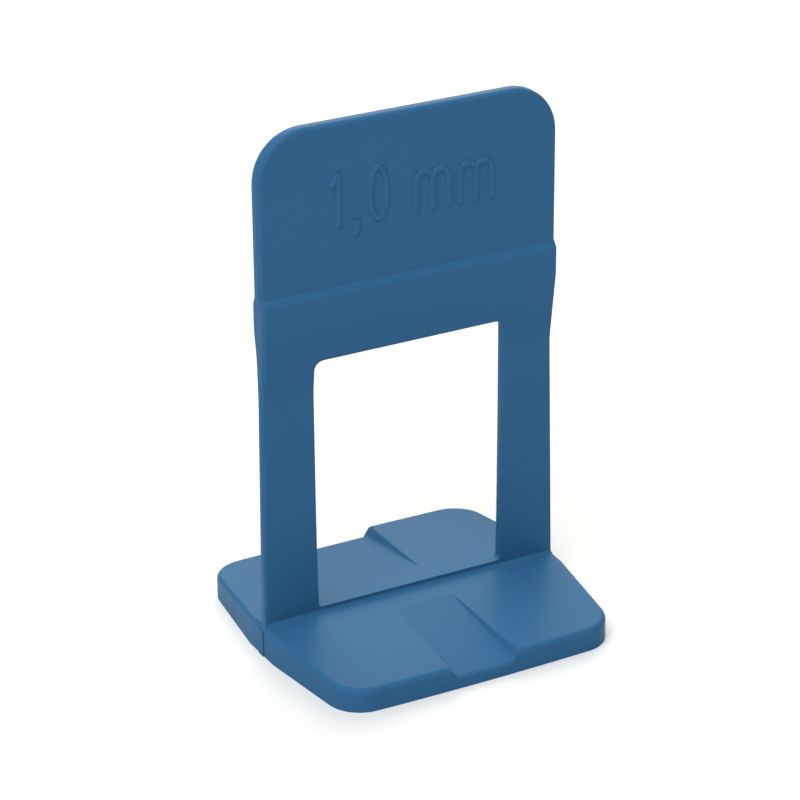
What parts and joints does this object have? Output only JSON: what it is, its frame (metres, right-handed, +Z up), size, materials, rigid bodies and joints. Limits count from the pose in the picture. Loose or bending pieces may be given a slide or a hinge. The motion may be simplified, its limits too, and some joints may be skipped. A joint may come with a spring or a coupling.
{
  "type": "tile levelling clip",
  "caption": "One-piece moulded plastic clip with a flat foot for two tiles, thin joint legs, a wedge window and a grip tab, used to level neighbouring tiles.",
  "frame": {"origin": "middle of the foot's underside, below the middle of the legs", "axes": "+Z up from the foot towards the tab, X along the plate, -Y towards the marked front face"},
  "size_m": [0.0326, 0.0304, 0.0531],
  "materials": {
    "clip_plastic": "blue moulded polypropylene, semi-gloss"
  },
  "bodies": {
    "root": {"clip": "clip_plastic"}
  },
  "joints": []
}
